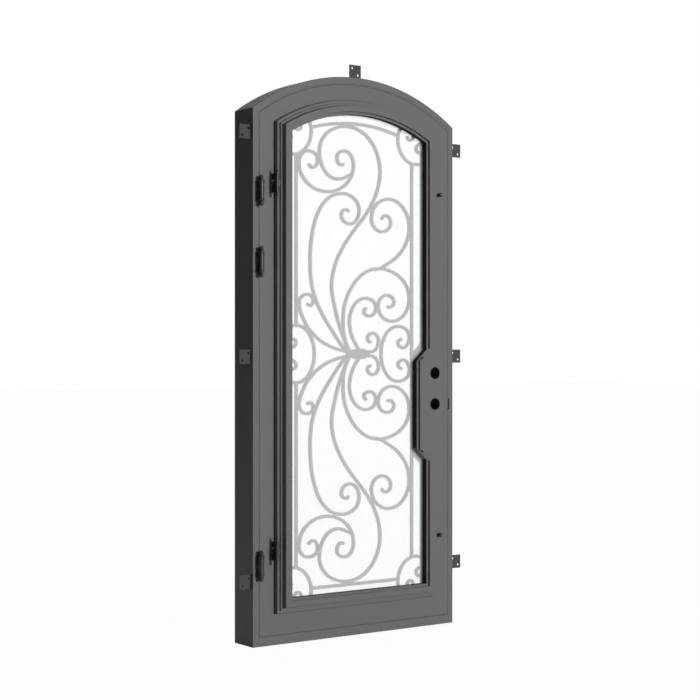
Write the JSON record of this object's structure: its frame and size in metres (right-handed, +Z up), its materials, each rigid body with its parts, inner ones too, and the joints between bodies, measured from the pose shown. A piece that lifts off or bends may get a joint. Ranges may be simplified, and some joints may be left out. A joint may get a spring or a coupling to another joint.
{
  "type": "arch top door",
  "caption": "Arch top steel entry door in its frame, with a scroll grille behind a hinged glass panel, lock bores and anchor tabs.",
  "frame": {"origin": "middle of the sill's underside, on the frame's front plane", "axes": "+X to the right seen from the room side, +Y from the room side through the door, +Z up"},
  "size_m": [1.186, 0.193, 2.483],
  "materials": {
    "iron": "satin charcoal paint",
    "tab_steel": "satin charcoal paint",
    "hinge_steel": "semi-gloss near-black paint",
    "seal": "matt black",
    "glass": "hazy, lightly obscured"
  },
  "bodies": {
    "frame": {"jamb_hinge_side": "iron", "jamb_lock_side": "iron", "frame_head": "iron", "sill": "iron", "stop_hinge_side": "iron", "stop_lock_side": "iron", "stop_head": "iron", "perimeter_seal": "seal", "tab_left_low": "tab_steel", "tab_left_mid": "tab_steel", "tab_left_top": "tab_steel", "tab_right_low": "tab_steel", "tab_right_mid": "tab_steel", "tab_right_top": "tab_steel", "tab_crown": "tab_steel", "hinge_low_frame": "hinge_steel", "hinge_mid_frame": "hinge_steel", "hinge_top_frame": "hinge_steel"},
    "leaf": {"hinge_low_leaf": "hinge_steel", "hinge_mid_leaf": "hinge_steel", "hinge_top_leaf": "hinge_steel", "hinge_stile": "iron", "lock_stile": "iron", "lock_box": "iron", "top_rail": "iron", "bottom_rail": "iron", "grille_border": "iron", "corner_scrolls": "iron", "side_scrolls": "iron", "scrolls_upper": "iron", "scrolls_lower": "iron", "latch_knob_low": "hinge_steel", "latch_knob_top": "hinge_steel", "panel_hinge_low_leaf": "hinge_steel", "panel_hinge_top_leaf": "hinge_steel"},
    "glass_panel": {"panel_left": "iron", "panel_right": "iron", "panel_top_arch": "iron", "panel_bottom": "iron", "glazing_bead": "iron", "glass": "glass", "panel_hinge_low_panel": "hinge_steel", "panel_hinge_top_panel": "hinge_steel"}
  },
  "joints": [
    {"name": "door_swing", "type": "hinge", "parent": "frame", "child": "leaf", "pos_m": [-0.5065, -0.018, 1.2], "axis": [0, 0, -1], "range_deg": [0, 100]},
    {"name": "glass_panel_swing", "type": "hinge", "parent": "leaf", "child": "glass_panel", "pos_m": [-0.438, -0.033, 1.2], "axis": [0, 0, -1], "range_deg": [0, 95]}
  ]
}
